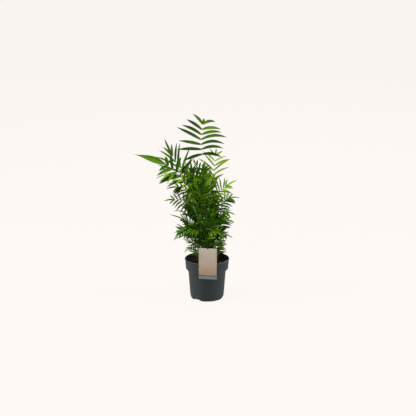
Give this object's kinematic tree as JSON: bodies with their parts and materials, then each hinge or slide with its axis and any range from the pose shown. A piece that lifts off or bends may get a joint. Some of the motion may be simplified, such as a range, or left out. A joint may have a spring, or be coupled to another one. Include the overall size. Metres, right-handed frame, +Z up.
{
  "type": "parlour palm in a nursery pot",
  "caption": "Clump of young parlour palms with feather fronds on slender stems, in a round nursery pot of compost, with a blank card label hooked over the rim.",
  "frame": {"origin": "middle of the pot's flat underside, where the plant stands", "axes": "+Z up the stems, -Y towards the front where the card label hangs, +X to the right seen from the front"},
  "size_m": [0.2813, 0.1702, 0.5014],
  "materials": {
    "pot_plastic": "matte",
    "compost": "moist crumbs",
    "card": "uncoated card",
    "stem": "smooth, ringed",
    "leaf_mature": "satin leaf",
    "leaf_mid": "satin leaf",
    "leaf_young": "satin leaf"
  },
  "bodies": {
    "root": {"pot": "pot_plastic", "compost": "compost", "label": "card", "stem_01": "stem", "stem_02": "stem", "stem_03": "stem", "stem_04": "stem", "stem_05": "stem", "stem_06": "stem", "stem_07": "stem", "stem_08": "stem", "stem_09": "stem", "frond_01": "leaf_mid", "frond_02": "leaf_young", "frond_03": "leaf_mature", "frond_04": "leaf_mid", "frond_05": "leaf_young", "frond_06": "leaf_mature", "frond_07": "leaf_mid", "frond_08": "leaf_young", "frond_09": "leaf_mature", "frond_10": "leaf_mid", "frond_11": "leaf_young", "frond_12": "leaf_mature", "frond_13": "leaf_mid", "frond_14": "leaf_young", "frond_15": "leaf_mature", "frond_16": "leaf_mid", "frond_17": "leaf_young", "frond_18": "leaf_mature", "frond_19": "leaf_mid", "frond_20": "leaf_young", "frond_21": "leaf_mature", "frond_22": "leaf_mid", "frond_23": "leaf_young", "frond_24": "leaf_mature", "frond_25": "leaf_mid", "frond_26": "leaf_young", "frond_27": "leaf_mature", "frond_28": "leaf_mid", "frond_29": "leaf_young", "frond_30": "leaf_mature", "frond_31": "leaf_mid", "frond_32": "leaf_young", "frond_33": "leaf_mature", "frond_34": "leaf_mid", "frond_35": "leaf_young", "seedling_01": "leaf_mid", "seedling_02": "leaf_young", "seedling_03": "leaf_mature", "seedling_04": "leaf_mid", "seedling_05": "leaf_young", "seedling_06": "leaf_mature", "seedling_07": "leaf_mid", "seedling_08": "leaf_young", "seedling_09": "leaf_mature", "seedling_10": "leaf_mid", "seedling_11": "leaf_young", "seedling_12": "leaf_mature", "seedling_13": "leaf_mid"}
  },
  "joints": []
}
